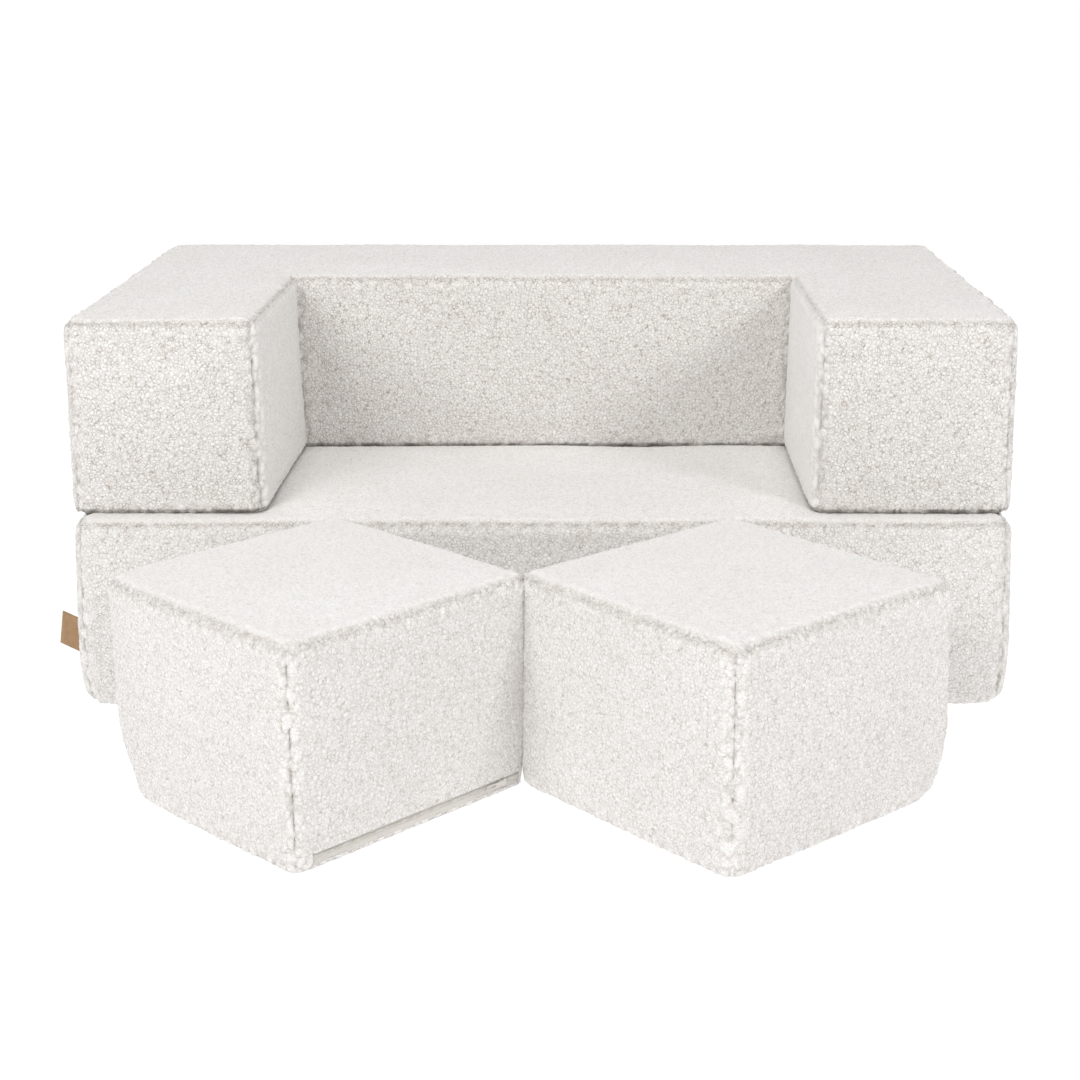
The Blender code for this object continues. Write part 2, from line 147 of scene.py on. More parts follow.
# Pile: curls with rounded tops, larger and longer beside the seams, laid flatter on the tops, where
# the nap also weakens the painted shade between the curls
PILE_DEPTH = 0.0020
PILE_LIFT = 0.0010
SEAM_PILE_DEPTH = 0.0046
CURL_SIZE = 0.0056
SEAM_CURL_SIZE = 0.0085
SEAM_CURL_STRETCH = 0.62
CURL_WANDER = 0.0022
CURL_WANDER_SIZE = 0.006
CURL_SLOPE = 0.75
CURL_TOPS = (0.72, 0.28)
SEAM_CURL_TOPS = (0.7, 0.3)
# Nap for each block and panel: it lifts the pile and scales the painted shade between the curls,
# kept low where the light falls evenly
NAPS_AND_SHADES = by_block(0.85, 1.0, 0.7, 0.7)
PANEL_NAPS_AND_SHADES = {"left_arm_inner_panel": 0.5, "right_arm_inner_panel": 0.3}
NAP_LIFTS = (0.4, 0.6)
LAID_PILE = 0.5
LAID_FACINGS = (0.7, 0.99)

# Where a block presses on another or on the floor
PRESSED_SHARE = 0.12
PRESS_MARGIN = 0.010
SINKING = 0.0042
SINKING_REACH = 0.030
SINKING_HEIGHT = 0.05

# Painted shade that the cloth carries, from 0 to 1: a share, then what the breaks add to it or take
# off
SEAM_LINE_SHADES = by_block(0.6, 0.6, 0.36, 0.36)
SEAM_LINE_HALF_WIDTH = 0.0016
SEAM_LINE_BREAKS = (0.3, 1.5)
# Painted shadow along the backrest's foot where it stands on the base, and painted shade where the
# two poufs touch
CONTACT_LINE_HEIGHTS = (0.0048, 0.0078)
CONTACT_LINE_BREAKS = (0.75, 0.6)
TOUCHING_CORNER = 1
TOUCH_HALF_WIDTH = 0.0090
TOUCH_LINE_BREAKS = (0.85, 0.7)
CREVICE_SHADE = 0.33
CREVICE_WIDTH = 0.10
SEAM_CREVICE_SHADES = (0.45, 0.55)
SEAM_CREVICE_WIDTH = 0.12
# Painted shade on the bend of the top rims, which tones down the light falling there
RIM_SHADE = 0.36
RIM_FACINGS = ((0.1, 0.5), (0.88, 0.99))
SEAM_NAP_EASE = 0.4

# Cutting maps of the panels
MAP_SHARE = 0.97
MAP_MIDDLE = Vector((0.5, 0.5))

# Foam, and the zips from their chain's middle: heights, sizes and the tapes' ripple
FOAM_INSET = 0.010
TAPE_HEIGHTS = {1: (0.0019, 0.0058), -1: (0.0019, 0.0086)}
TAPE_DEPTH = 0.0004
TAPE_THICKNESS = 0.0009
TAPE_CELL = 0.004
TAPE_RIPPLE = 0.00025
TAPE_WAVES = ((1.0, 95, 1), (0.6, 233, 2))
ZIP_CLEARANCE = 0.0006
TOOTH_PITCH = 0.0013
TOOTH_RADIUS = 0.00042
TOOTH_LENGTH = 0.0023
TOOTH_REACH = 0.00085
TOOTH_SLANT = math.radians(9)
TOOTH_STAND = 0.0008
CHAIN_HALF_HEIGHT = 0.0020
BAND_DEPTH = 0.0015
BAND_RADIUS = 0.0003

# Slider, its flanges and ear feet: size, depth, reach to each side, rounding and its steps
SLIDER_PLATE = (0.010, 0.0012, 0.0066)
SLIDER_NOSE_SHARE = 0.84
SLIDER_CORNER_RADIUS = 0.0019
SLIDER_RIM_RADIUS = 0.00022
FLANGE = ((0.0076, 0.0009, 0.0005), 0.0003, 0.0027, 0.00015, 1)
EAR_FOOT = ((0.0030, 0.0014, 0.0007), -0.0015, 0.00265, 0.00018, 2)
EAR_PLACE = 0.00265

# Round parts: radius and length
EAR = (0.00105, 0.0007)
PIN = (0.00035, 0.0061)
BARREL = (0.0008, 0.0044)

# Pull, which lies along -X
PULL_TAB = (0.0216, 0.0008, 0.0046)
PULL_TAB_MIDDLE = -0.0112
PULL_FAR_END = -0.015
PULL_CORNER_RADIUS = 0.0021
PULL_OPENING_START = -0.0085
PULL_OPENING_RIM = 0.00115
PULL_EDGE_RADIUS = 0.00016
CRISP_ANGLE = math.radians(40)

# Label: its bends have a length, a first and a last heading, and steps
LABEL_START = (0.010143, 0.010143)
LABEL_HEIGHT = 0.037
LABEL_THICKNESS = 0.0015
LABEL_CENTRE_HEIGHT = 0.072
LABEL_BENDS = (
    (0.012, math.radians(225), math.radians(147), 12),
    (0.037, math.radians(147), math.radians(143), 20),
)
LABEL_TILT = math.radians(8.4)
LABEL_EDGE_RADIUS = 0.00035

BOX_WALLS = ("front_panel", "right_panel", "back_panel", "left_panel")
BACKREST_WALLS = (
    "left_arm_front_panel",
    "left_arm_inner_panel",
    "front_panel",
    "right_arm_inner_panel",
    "right_arm_front_panel",
    "right_panel",
    "rear_panel",
    "left_panel",
)


@dataclass(frozen=True)
class Block:
    """One module in its own frame: x and y from its middle, z from its underside."""

    name: str
    place: tuple
    turn: float
    outline: tuple
    walls: tuple
    height: float
    swells: tuple
    zip_wall: int

    @property
    def panels(self):
        return (*self.walls, "top_panel", "bottom_panel")

    def to_world(self):
        return Matrix.Translation(self.place) @ Matrix.Rotation(self.turn, 4, "Z")


def edges_of(outline):
    """The outline's edges as (start, end) pairs."""
    corners = [Vector(corner) for corner in outline]
    return list(zip(corners, corners[1:] + corners[:1]))


def outward(edge):
    along = (edge[1] - edge[0]).normalized()
    return Vector((along.y, -along.x))


def rectangle(width, depth):
    x, y = width / 2, depth / 2
    return ((-x, -y), (x, -y), (x, y), (-x, y))


def core_size(name):
    """Outer width, depth, height and underside centre of a square block, from its foam core."""
    low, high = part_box(f"{name}_foam_core")
    size = high - low
    centre = (low + high) / 2
    place = (centre.x, centre.y, low.z - CORE_INSET)
    return size.x + 2 * CORE_INSET, size.y + 2 * CORE_INSET, size.z + 2 * CORE_INSET, place


def backrest_block():
    width, depth, height, place = core_size("backrest")
    x, y = width / 2, depth / 2
    left, right, back = LEFT_ARM_WIDTH - x, x - RIGHT_ARM_WIDTH, y - BACK_THICKNESS
    recess = ((left, -y), (left, back), (right, back), (right, -y))
    outline = ((-x, -y), *recess, (x, -y), (x, y), (-x, y))
    swells = ((-x, -y, left, y), (right, -y, x, y), (-x, back, x, y))
    return Block("backrest", place, 0.0, outline, BACKREST_WALLS, height, swells, 6)


def base_block(backrest):
    width, depth, height, place = core_size("base")
    shift = Vector(backrest.place) - Vector(place)
    left = backrest.outline[1][0] + shift.x
    right = backrest.outline[4][0] + shift.x
    back = backrest.outline[2][1] + shift.y
    swells = ((left, -depth / 2, right, back),)
    return Block("base", place, 0.0, rectangle(width, depth), BOX_WALLS, height, swells, 2)


def pouf_block(name):
    _, _, height, place = core_size(name)
    outline = rectangle(POUF_SIDE, POUF_SIDE)
    swells = ((*outline[0], *outline[2]),)
    return Block(name, place, POUF_TURNS[name], outline, BOX_WALLS, height, swells, 0)


# Meshes


def translate(shape, way):
    bmesh.ops.translate(shape, verts=shape.verts[:], vec=way)


def face_outwards(shape):
    bmesh.ops.recalc_face_normals(shape, faces=shape.faces[:])


def extruded(outline, height, inset):
    """A closed straight-sided block over a plan outline, drawn in by the inset."""
    shape = bmesh.new()
    plan = shape.faces.new([shape.verts.new((x, y, 0.0)) for x, y in outline])
    if inset:
        shape.normal_update()
        inset_faces = bmesh.ops.inset_region(
            shape, faces=[plan], thickness=inset, use_boundary=True, use_even_offset=True
        )
        bmesh.ops.delete(shape, geom=inset_faces["faces"], context="FACES")
    raised = bmesh.ops.extrude_face_region(shape, geom=shape.faces[:])["geom"]
    top = [item for item in raised if isinstance(item, bmesh.types.BMVert)]
    bmesh.ops.translate(shape, verts=top, vec=(0.0, 0.0, height))
    face_outwards(shape)
    return shape


def bevel_edges(shape, edges, radius, steps):
    bmesh.ops.bevel(
        shape,
        geom=edges,
        offset=radius,
        offset_type="OFFSET",
        segments=steps,
        profile=0.5,
        affect="EDGES",
        clamp_overlap=True,
        material=-1,
    )
    shape.normal_update()


def rounded_block(block, height, steps, inset=0.0):
    """The block with its outer upright edges rounded first, then its top and bottom rims."""
    shape = extruded(block.outline, height, inset)
    uprights = [
        edge
        for edge in shape.edges
        if abs(edge.verts[0].co.z - edge.verts[1].co.z) > height / 2 and edge.is_convex
    ]
    bevel_edges(shape, uprights, UPRIGHT_RADII[block.name], steps)
    for end, radii in ((max, TOP_RADII), (min, BOTTOM_RADII)):
        face = end(shape.faces, key=lambda face: face.calc_center_median().z)
        bevel_edges(shape, face.edges[:], radii[block.name], steps)
    return shape


def object_from(name, shape):
    mesh = bpy.data.meshes.new(name)
    shape.to_mesh(mesh)
    shape.free()
    piece = bpy.data.objects.new(name, mesh)
    bpy.context.scene.collection.objects.link(piece)
    return piece


def apply_modifiers(piece):
    """Swaps the piece's mesh for the one that its modifiers give."""
    evaluated = piece.evaluated_get(bpy.context.evaluated_depsgraph_get())
    mesh = bpy.data.meshes.new_from_object(evaluated)
    old = piece.data
    piece.modifiers.clear()
    piece.data = mesh
    mesh.name = old.name
    bpy.data.meshes.remove(old)


def even_skin(name, block, grain):
    """The block's rounded form with a skin of even small faces."""
    skin = object_from(name, rounded_block(block, block.height, ROUNDING_STEPS))
    remesh = skin.modifiers.new("Skin", "REMESH")
    remesh.mode = "VOXEL"
    remesh.voxel_size = grain
    remesh.use_smooth_shade = True
    apply_modifiers(skin)
    return skin


def numbers_of(items, name, width, kind=np.float32):
    values = np.empty(len(items) * width, kind)
    items.foreach_get(name, values)
    return values.reshape(-1, width) if width > 1 else values


# Noise on points


def scrambled(cells, seed):
    """Three values from 0 to 1 for each cell of whole coordinates."""
    mixed = cells.astype(np.uint32) * np.uint32(0x9E3779B1)
    second, third = mixed[:, 1] * np.uint32(0x85EBCA6B), mixed[:, 2] * np.uint32(0xC2B2AE35)
    mixed = mixed[:, 0] ^ second ^ third
    mixed = mixed + np.uint32(seed * 0x27D4EB2F % (1 << 32))
    values = []
    for shift in (15, 13, 16):
        mixed = (mixed ^ (mixed >> np.uint32(shift))) * np.uint32(0x2C1B3C6D)
        values.append((mixed >> np.uint32(8)).astype(np.float32) / np.float32(1 << 24))
    return np.stack(values, axis=1)


NEIGHBOURS = [
    np.array((x, y, z), np.int32) for x in (-1, 0, 1) for y in (-1, 0, 1) for z in (-1, 0, 1)
]
CUBE_CORNERS = [np.array((x, y, z), np.int32) for x in (0, 1) for y in (0, 1) for z in (0, 1)]


def curls(points, size, seed):
    """How deep each point lies inside its curl, from 0 to about 1, and a value of that curl."""
    places = points / np.float32(size)
    cells = np.floor(places).astype(np.int32)
    inside = places - cells
    first = np.full(len(points), FAR_AWAY, np.float32)
    second = first.copy()
    value = np.zeros(len(points), np.float32)
    for step in NEIGHBOURS:
        spot = scrambled(cells + step, seed)
        gap = np.linalg.norm(spot + step - inside, axis=1)
        nearer = gap < first
        second = np.where(nearer, first, np.minimum(second, gap))
        first = np.where(nearer, gap, first)
        value = np.where(nearer, spot[:, 2], value)
    return second - first, value


def drift(points, size, seed):
    """Smooth noise of three values from -1 to 1."""
    places = points / np.float32(size)
    cells = np.floor(places).astype(np.int32)
    share = places - cells
    share = share * share * (3 - 2 * share)
    total = np.zeros_like(points)
    for corner in CUBE_CORNERS:
        weight = np.prod(np.where(corner == 1, share, 1 - share), axis=1, keepdims=True)
        total += weight * scrambled(cells + corner, seed)
    return 2 * total - 1


# Covers


def panel_depths(points, block):
    """How deep each point lies behind each panel's plane, one column for each panel."""
    columns = []
    for start, end in edges_of(block.outline):
        along = np.array(end - start, np.float32)
        share = (points[:, :2] - start) @ along / (along @ along)
        nearest = np.array(start, np.float32) + np.clip(share, 0, 1)[:, None] * along
        columns.append(np.linalg.norm(points[:, :2] - nearest, axis=1))
    columns += [block.height - points[:, 2], points[:, 2]]
    return np.stack(columns, axis=1)


def smooth_step(values, low, high):
    share = np.clip((values - low) / (high - low), 0, 1)
    return share * share * (3 - 2 * share)


def crown_height(points, panels, block):
    """How far the swell of its panel lifts each point."""
    depth = np.zeros(len(points), np.float32)
    for index, (start, end) in enumerate(edges_of(block.outline)):
        on_wall = panels == index
        along = np.array((end - start).normalized(), np.float32)
        run = (points[on_wall, :2] - start) @ along
        z = points[on_wall, 2]
        sides = (run, (end - start).length - run, z, block.height - z)
        depth[on_wall] = np.min(sides, axis=0)
    on_top = panels == len(block.walls)
    x, y = points[on_top, 0], points[on_top, 1]
    swells = [
        np.min((x - left, right - x, y - front, back - y), axis=0)
        for left, front, right, back in block.swells
    ]
    depth[on_top] = np.max(swells, axis=0)
    share = np.clip(depth / CROWN_REACH, 0, 1)
    return CROWN * (1 - (1 - share) ** 2)


def inside_outline(points, outline):
    """How deep each point lies within a plan outline, below zero outside it."""
    inside = np.zeros(len(points), bool)
    nearest = np.full(len(points), FAR_AWAY, np.float32)
    for start, end in edges_of(outline):
        along = np.array(end - start, np.float32)
        share = (points[:, :2] - start) @ along / (along @ along)
        spot = np.array(start, np.float32) + np.clip(share, 0, 1)[:, None] * along
        nearest = np.minimum(nearest, np.linalg.norm(points[:, :2] - spot, axis=1))
        crosses = (points[:, 1] < start.y) != (points[:, 1] < end.y)
        rise = end.y - start.y if end.y != start.y else 1.0
        at = start.x + (points[:, 1] - start.y) / rise * (end.x - start.x)
        inside ^= crosses & (points[:, 0] < at)
    return np.where(inside, nearest, -nearest)


def bell(distance, reach):
    return np.exp(-((distance / reach) ** 2))


def curl_height(curl, tops):
    (edge, value), (even, varied) = curl, tops
    return np.sqrt(np.clip(edge / CURL_SLOPE, 0, 1)) * (even + varied * value) - 0.5


def away_from_corner(points, block, index):
    """How far each point lies from an upright corner of the block, seen from above."""
    corner = np.array(block.outline[index], np.float32)
    return np.linalg.norm(points[:, :2] - corner, axis=1)


def soft_corner_shift(points, block):
    """How far the soft corners of the block draw each point towards its middle."""
    shift = np.zeros_like(points)
    foot = np.clip(1 - points[:, 2] / SOFT_FOOT_HEIGHT, 0, 1) ** 2
    for index, draw, foot_draw, reach in SOFT_CORNERS.get(block.name, ()):
        near = bell(away_from_corner(points, block, index), reach)
        towards = np.array(-Vector(block.outline[index]).normalized(), np.float32)
        shift[:, :2] += ((draw + foot_draw * foot) * near)[:, None] * towards
    return shift


def pressed(points, panels, block, load):
    """How firmly the floor or a load presses each point, from 0 to 1, and how far it sinks in."""
    bottom = (panels == len(block.walls) + 1).astype(np.float32)
    if load is None:
        return bottom, 0 * bottom
    shift = np.array(load.place, np.float32) - np.array(block.place, np.float32)
    deep = inside_outline(points - shift, load.outline)
    on_top = panels == len(block.walls)
    sinking = SINKING * on_top * smooth_step(deep, -SINKING_REACH, PRESS_MARGIN)
    return bottom + on_top * smooth_step(deep, 0, PRESS_MARGIN), sinking


class Cloth:
    """What the form and the painted shades of a cover follow, for each point of its bare skin."""

    def __init__(self, mesh, block, load, seed):
        self.block = block
        self.seed = seed
        self.points = numbers_of(mesh.vertices, "co", 3)
        self.facing = numbers_of(mesh.vertex_normals, "vector", 3)
        self.depths = panel_depths(self.points, block)
        order = np.sort(self.depths, axis=1)
        self.seam = order[:, 1] - order[:, 0]
        self.panels = np.argmin(self.depths, axis=1)
        self.press, self.sinking = pressed(self.points, self.panels, block, load)
        self.near_seam = bell(self.seam, SEAM_REACH)
        self.at_top_rim = bell(self.depths[:, -2], TOP_RIM_REACH)
        self.below_rim = 1 - self.at_top_rim
        self.seam_share = 1 - (1 - TOP_SEAM_SHARES[block.name]) * self.at_top_rim
        self.breaks = drift(self.points, SEAM_BREAK_SIZE, seed + 5)
        # Up-facing pile lies flatter: lower curls there, and less painted shade between them where
        # the light falls fully
        laid = LAID_PILE * smooth_step(self.facing[:, 2], *LAID_FACINGS)
        self.nap = NAPS_AND_SHADES[block.name] * (1 - laid)
        panel_naps_and_shades = [PANEL_NAPS_AND_SHADES.get(name, 1.0) for name in block.panels]
        self.nap *= np.array(panel_naps_and_shades, np.float32)[self.panels]
        warped = self.points + CURL_WANDER * drift(self.points, CURL_WANDER_SIZE, seed + 1)
        self.curls = curls(warped, CURL_SIZE, seed + 2)
        stretched = warped * np.array((1, 1, SEAM_CURL_STRETCH), np.float32)
        self.seam_curls = curls(stretched, SEAM_CURL_SIZE, seed + 3)

    def pile(self):
        """How high the curls stand."""
        height = (1 - self.near_seam) * PILE_DEPTH * curl_height(self.curls, CURL_TOPS)
        height += self.near_seam * SEAM_PILE_DEPTH * curl_height(self.seam_curls, SEAM_CURL_TOPS)
        flattened = 1 - (1 - PRESSED_SHARE) * self.press
        stiff, soft = NAP_LIFTS
        return (height + PILE_LIFT) * flattened * (stiff + soft * self.nap)

    def lift(self):
        """How far the cloth stands off the block's plain form, without its pile."""
        name = self.block.name
        lower_seam = (self.depths[:, -1] < LOWER_SEAM_HEIGHT).astype(np.float32)
        groove = SEAM_DRAW * bell(self.seam, SEAM_HALF_WIDTH) * (1 - LOWER_SEAM_EASE * lower_seam)
        even, varied = SEAM_BREAKS
        groove *= (even + varied * self.breaks[:, 1]) * self.seam_share
        roll = SEAM_ROLL * bell(self.seam - SEAM_ROLL_PLACE, SEAM_ROLL_HALF_WIDTH)
        wave = WAVE_HEIGHT * drift(self.points, WAVE_LENGTH, self.seed + 4)[:, 0]
        lean = LEANS[name] * (1 - self.points[:, 2] / self.block.height)
        corner = np.sort(self.depths[:, :-2], axis=1)[:, 1]
        lean -= CORNER_DRAWS[name] * np.exp(-corner / CORNER_REACH)
        upright = 1 - np.abs(self.facing[:, 2])
        crown = crown_height(self.points, self.panels, self.block)
        return crown + (roll + wave) * (1 - self.press) + lean * upright - groove

    def broken(self, breaks, direction=0):
        """A share with breaks in it, from 0 to 1."""
        even, varied = breaks
        return np.clip(even + varied * self.breaks[:, direction], 0, 1)

    def seam_line(self):
        """Painted shade in the seams, painted shadow along the backrest's foot and painted shade
        where the poufs touch.
        """
        line = SEAM_LINE_SHADES[self.block.name] * self.seam_share * bell(self.seam, SEAM_LINE_HALF_WIDTH)
        line *= self.broken(SEAM_LINE_BREAKS)
        # Painted shadow along the backrest's foot, where it meets the base
        if self.block.name == "backrest":
            contact = 1 - smooth_step(self.depths[:, -1], *CONTACT_LINE_HEIGHTS)
            line += contact * (self.press == 0) * self.broken(CONTACT_LINE_BREAKS)
        # Painted shade at the corner where the two poufs touch
        if self.block.name in POUF_TURNS:
            away = away_from_corner(self.points, self.block, TOUCHING_CORNER)
            touching = np.exp(-((away / TOUCH_HALF_WIDTH) ** 4)) * self.below_rim
            line += touching * self.broken(TOUCH_LINE_BREAKS, 1)
        return line

    def crevice(self):
        """Painted shade between the curls, and painted shade on the bend of the top rims."""
        even, varied = SEAM_CREVICE_SHADES
        shade = CREVICE_SHADE * (1 - self.near_seam) * np.exp(-self.curls[0] / CREVICE_WIDTH)
        seam_gap = np.exp(-self.seam_curls[0] / SEAM_CREVICE_WIDTH)
        shade += self.near_seam * (even + varied * self.below_rim) * seam_gap
        up, (rise, fall) = self.facing[:, 2], RIM_FACINGS
        bend = smooth_step(up, *rise) * (1 - smooth_step(up, *fall))
        return shade + RIM_SHADE * bend * self.at_top_rim

    # The nap eased beside the seams below the top rims: less painted shade between the curls and a
    # lower bump there
    def seam_eased_nap_and_shade(self):
        return self.nap * (1 - SEAM_NAP_EASE * self.near_seam * self.below_rim)


def dress(skin, block, load, seed):
    """Gives the skin its swell, drawn seams and curled pile, and marks its panels and its painted
    shades.
    """
    mesh = skin.data
    cloth = Cloth(mesh, block, load, seed)
    points, facing = cloth.points, cloth.facing
    lift, pile = cloth.lift(), cloth.pile()
    shift = soft_corner_shift(points, block)
    moved = points + facing * (lift + pile)[:, None] + shift
    moved[:, 2] -= cloth.sinking
    if block.name == "backrest":
        moved[:, 2] -= SINKING * (1 - smooth_step(points[:, 2], 0.0, SINKING_HEIGHT))
    else:
        moved[:, 2] = np.maximum(moved[:, 2], 0.0)
    inner_lift = np.minimum(lift, 0.0) - COVER_THICKNESS
    inner = points + facing * inner_lift[:, None] + shift
    store = mesh.attributes.new("inner_side", "FLOAT_VECTOR", "POINT")
    store.data.foreach_set("vector", inner.astype(np.float32).ravel())
    shades = {"crevice": cloth.crevice(), "seam_line": cloth.seam_line(), "nap": cloth.seam_eased_nap_and_shade()}
    for name, values in shades.items():
        store = mesh.attributes.new(name, "FLOAT", "POINT")
        store.data.foreach_set("value", np.clip(values, 0, 1).astype(np.float32))

    counts = numbers_of(mesh.polygons, "loop_total", 1, np.int32)
    corners = numbers_of(mesh.loops, "vertex_index", 1, np.int32)
    faces = np.repeat(np.arange(len(counts)), counts)
    middles = np.zeros((len(counts), 3), np.float32)
    np.add.at(middles, faces, points[corners])
    middles /= counts[:, None]
    face_panels = np.argmin(panel_depths(middles, block), axis=1)
    mesh.polygons.foreach_set("material_index", face_panels.astype(np.int32))
    add_cutting_map(mesh, points[corners], face_panels[faces], block)
    mesh.vertices.foreach_set("co", moved.ravel())
    mesh.update()


def add_cutting_map(mesh, places, panels, block):
    """Lays each panel flat over its map, with a margin for its seam allowance."""
    spots = np.zeros((len(places), 2), np.float32)
    for index in range(len(block.panels)):
        on_panel = panels == index
        across = Vector((1.0, 0.0))
        if index < len(block.walls):
            start, end = edges_of(block.outline)[index]
            across = (end - start).normalized()
            up = places[on_panel, 2]
        else:
            up = places[on_panel, 1]
        flat = np.stack((places[on_panel, :2] @ np.array(across, np.float32), up), axis=1)
        low, high = flat.min(axis=0), flat.max(axis=0)
        flat = (flat - low) / (high - low)
        spots[on_panel] = 0.5 + (flat - 0.5) * MAP_SHARE
    layer = mesh.uv_layers.new(name="OFBake")
    layer.uv.foreach_set("vector", spots.ravel())


def split_panels(skin, block):
    """Cuts the skin along its seams into one object for each panel, by its number."""
    for index in range(len(block.panels)):
        skin.data.materials.append(bpy.data.materials.new(f"{block.name}_{index}"))
    bpy.ops.object.select_all(action="DESELECT")
    skin.select_set(True)
    bpy.context.view_layer.objects.active = skin
    bpy.ops.object.mode_set(mode="EDIT")
    bpy.ops.mesh.select_all(action="SELECT")
    bpy.ops.mesh.separate(type="MATERIAL")
    bpy.ops.object.mode_set(mode="OBJECT")
    found = {}
    for piece in list(bpy.context.selected_objects):
        marker = piece.data.materials[0]
        found[int(marker.name.rsplit("_", 1)[1])] = piece
        piece.data.materials.clear()
        bpy.data.materials.remove(marker)
    return found


def turn_in_seams(piece):
    """Turns a panel's edges in, as its seam allowance, and lets them out on its cutting map."""
    shape = bmesh.new()
    shape.from_mesh(piece.data)
    inner_place = shape.verts.layers.float_vector["inner_side"]
    cutting = shape.loops.layers.uv["OFBake"]
    rim = [edge for edge in shape.edges if edge.is_boundary]
    for edge in rim:
        edge.smooth = False
    turned = bmesh.ops.extrude_edge_only(shape, edges=rim)["geom"]
    for item in turned:
        if not isinstance(item, bmesh.types.BMVert):
            continue
        item.co = item[inner_place]
        for loop in item.link_loops:
            loop[cutting].uv = MAP_MIDDLE + (loop[cutting].uv - MAP_MIDDLE) / MAP_SHARE
    face_outwards(shape)
    shape.to_mesh(piece.data)
    shape.free()
    piece.data.attributes.remove(piece.data.attributes["inner_side"])


# Foam, zips and label


def foam_piece(block):
    """The block's foam core with its cut edges slightly worn."""
    shape = rounded_block(block, block.height - 2 * FOAM_INSET, 4, FOAM_INSET)
    translate(shape, (0.0, 0.0, FOAM_INSET))
    points = np.array([corner.co for corner in shape.verts], np.float32)
    for corner, shift in zip(shape.verts, soft_corner_shift(points, block)):
        corner.co += Vector(shift)
    return object_from(f"{block.name}_foam", shape)


def zip_place(block):
    """The zip's own frame, in which it runs along X and faces -Y, and half of its length."""
    start, end = edges_of(block.outline)[block.zip_wall]
    facing = outward((start, end))
    middle = (start + end) / 2
    low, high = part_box(f"{block.name}_zip_chain")
    height = (low.z + high.z) / 2 - block.place[2]
    turn = Matrix.Rotation(math.atan2(facing.x, -facing.y), 4, "Z")
    return Matrix.Translation((middle.x, middle.y, height)) @ turn, (end - start).length / 2


def cut_zip_slot(piece, block):
    """Opens the slot of the zip in its panel."""
    place, half_wall = zip_place(block)
    to_zip = place.inverted()
    half_length = half_wall - TAPE_END_MARGIN
    low, high = ZIP_SLOT_HEIGHTS
    shape = bmesh.new()
    shape.from_mesh(piece.data)
    for axis, reach in ((2, high), (2, low), (0, half_length), (0, -half_length)):
        spot = Vector()
        spot[axis] = reach
        near = [
            face
            for face in shape.faces
            if 2 * low < (to_zip @ face.calc_center_median()).z < 2 * high
        ]
        edges = dict.fromkeys(edge for face in near for edge in face.edges)
        corners = dict.fromkeys(corner for face in near for corner in face.verts)
        bmesh.ops.bisect_plane(
            shape,
            geom=[*corners, *edges, *near],
            plane_co=place @ spot,
            plane_no=place.to_3x3() @ spot.normalized(),
        )
    inside = []
    for face in shape.faces:
        centre = to_zip @ face.calc_center_median()
        if abs(centre.x) < half_length and low < centre.z < high:
            inside.append(face)
    bmesh.ops.delete(shape, geom=inside, context="FACES")
    shape.to_mesh(piece.data)
    shape.free()


def box(size, centre, radius=0.0, steps=2):
    shape = bmesh.new()
    bmesh.ops.create_cube(shape, size=1.0)
    bmesh.ops.scale(shape, verts=shape.verts[:], vec=size)
    translate(shape, centre)
    if radius:
        bevel_edges(shape, shape.edges[:], radius, steps)
    return shape


def rod(radius, length, centre, steps=16):
    """An upright round rod."""
    shape = bmesh.new()
    bmesh.ops.create_cone(
        shape, cap_ends=True, segments=steps, radius1=radius, radius2=radius, depth=length
    )
    translate(shape, centre)
    return shape


def joined(parts):
    whole = bmesh.new()
    for part in parts:
        mesh = bpy.data.meshes.new("part")
        part.to_mesh(mesh)
        part.free()
        whole.from_mesh(mesh)
        bpy.data.meshes.remove(mesh)
    return whole


def smooth_by_angle(shape, angle):
    """Shades the shape smooth and keeps its corners above this angle crisp."""
    for face in shape.faces:
        face.smooth = True
    for edge in shape.edges:
        edge.smooth = edge.is_boundary or edge.calc_face_angle(math.pi) < angle


def zip_tape(half_length, side):
    """One woven tape, slightly rippled, with its weave laid out along it."""
    low, high = TAPE_HEIGHTS[side]
    columns = round(half_length / TAPE_CELL)
    tape = bmesh.new()
    bmesh.ops.create_grid(tape, x_segments=columns, y_segments=4, size=0.5)
    size = (2 * half_length - ZIP_CLEARANCE, high - low, 1.0)
    bmesh.ops.scale(tape, verts=tape.verts[:], vec=size)
    bmesh.ops.rotate(tape, verts=tape.verts[:], matrix=Matrix.Rotation(math.pi / 2, 3, "X"))
    middle = (0.0, TAPE_DEPTH, side * (low + high) / 2)
    translate(tape, middle)
    for vertex in tape.verts:
        share = (abs(vertex.co.z) - low) / (high - low)
        x = vertex.co.x
        wave = sum(swing * math.sin(x * pace + side * start) for swing, pace, start in TAPE_WAVES)
        vertex.co.y += TAPE_RIPPLE * share * (1 + wave)
    weave = tape.loops.layers.uv.new("weave")
    for face in tape.faces:
        for loop in face.loops:
            loop[weave].uv = (loop.vert.co.x, loop.vert.co.z)
    face_outwards(tape)
    if tape.faces[0].normal.y > 0:
        bmesh.ops.reverse_faces(tape, faces=tape.faces[:])
    bmesh.ops.solidify(tape, geom=tape.faces[:], thickness=TAPE_THICKNESS)
    for face in tape.faces:
        face.smooth = True
    return tape


